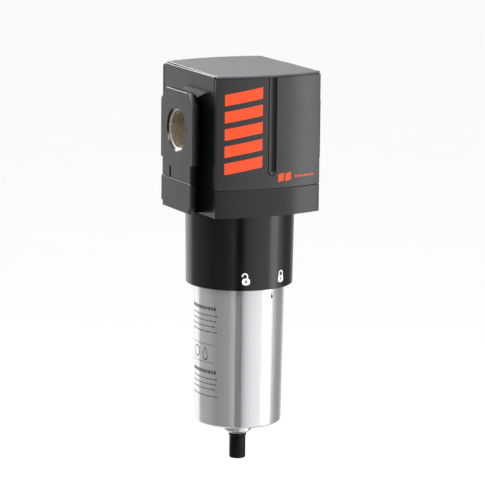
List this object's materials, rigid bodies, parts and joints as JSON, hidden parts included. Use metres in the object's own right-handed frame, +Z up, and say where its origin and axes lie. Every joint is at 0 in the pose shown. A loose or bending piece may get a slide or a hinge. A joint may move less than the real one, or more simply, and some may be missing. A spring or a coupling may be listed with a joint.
{
  "type": "compressed air filter",
  "caption": "Compressed air filter: square cast head with threaded side ports, turn-to-lock aluminium bowl and a float drain with a knob under it.",
  "frame": {"origin": "where the port axis crosses the bowl axis, inside the head", "axes": "+Z up along the bowl axis, +X along the ports in the direction of flow (inlet at -X, outlet at +X), -Y towards the front cover"},
  "size_m": [0.1122, 0.109, 0.3141],
  "materials": {
    "black_paint": "satin black paint on an aluminium casting",
    "cover_plastic": "satin moulded plastic",
    "plate_plastic": "satin moulded plastic",
    "bare_aluminium": "bright satin, drawn lengthwise",
    "zinc_steel": "zinc plated",
    "brass_fitting": "turned",
    "rubber_seal": "moulded nitrile",
    "filter_media": "pleated felt",
    "natural_plastic": "natural acetal",
    "inner_plastic": "glass-filled nylon",
    "knob_plastic": "moulded black acetal"
  },
  "bodies": {
    "head": {"head_casting": "black_paint", "collar_casting": "black_paint", "front_cover": "cover_plastic", "rear_cover": "cover_plastic", "top_plate": "plate_plastic", "body_screw_1": "zinc_steel", "body_screw_2": "zinc_steel", "body_screw_3": "zinc_steel", "body_screw_4": "zinc_steel", "body_seal": "rubber_seal", "swirl_ring": "natural_plastic", "element_gasket": "rubber_seal", "element_top_cap": "inner_plastic", "filter_element": "filter_media", "element_core": "zinc_steel", "element_bottom_cap": "inner_plastic", "baffle": "inner_plastic", "centre_stud": "zinc_steel", "retainer_nut": "brass_fitting"},
    "bowl_unit": {"bowl": "bare_aluminium", "bowl_seal": "rubber_seal", "drain_housing": "natural_plastic", "drain_seal": "rubber_seal", "drain_lock_nut": "knob_plastic", "drain_strainer": "zinc_steel", "jet_cap": "brass_fitting", "lever_pin": "zinc_steel"},
    "float_unit": {"float": "natural_plastic"},
    "lever_unit": {"pilot_lever": "natural_plastic", "lever_pad": "rubber_seal"},
    "stem_unit": {"drain_stem": "brass_fitting", "stem_seal": "rubber_seal"},
    "knob_unit": {"drain_knob": "knob_plastic"}
  },
  "joints": [
    {"name": "bowl_turn", "type": "hinge", "parent": "head", "child": "bowl_unit", "pos_m": [0, 0, -0.107], "axis": [0, 0, -1], "range_deg": [0, 42.4]},
    {"name": "float_rise", "type": "slide", "parent": "bowl_unit", "child": "float_unit", "axis": [0, 0, 1], "range_m": [0, 0.005]},
    {"name": "lever_tilt", "type": "hinge", "parent": "bowl_unit", "child": "lever_unit", "pos_m": [-0.006, 0, -0.1882], "axis": [0, -1, 0], "range_deg": [0, 15.5]},
    {"name": "stem_travel", "type": "slide", "parent": "bowl_unit", "child": "stem_unit", "axis": [0, 0, -1], "range_m": [0, 0.0015]},
    {"name": "knob_turn", "type": "hinge", "parent": "stem_unit", "child": "knob_unit", "pos_m": [0, 0, -0.259], "axis": [0, 0, -1], "range_deg": [0, 360]}
  ],
  "couplings": [
    {"joint": "lever_tilt", "follows": "float_rise", "rad_per_m": 51.948},
    {"joint": "knob_turn", "follows": "stem_travel", "rad_per_m": 4188.8}
  ]
}
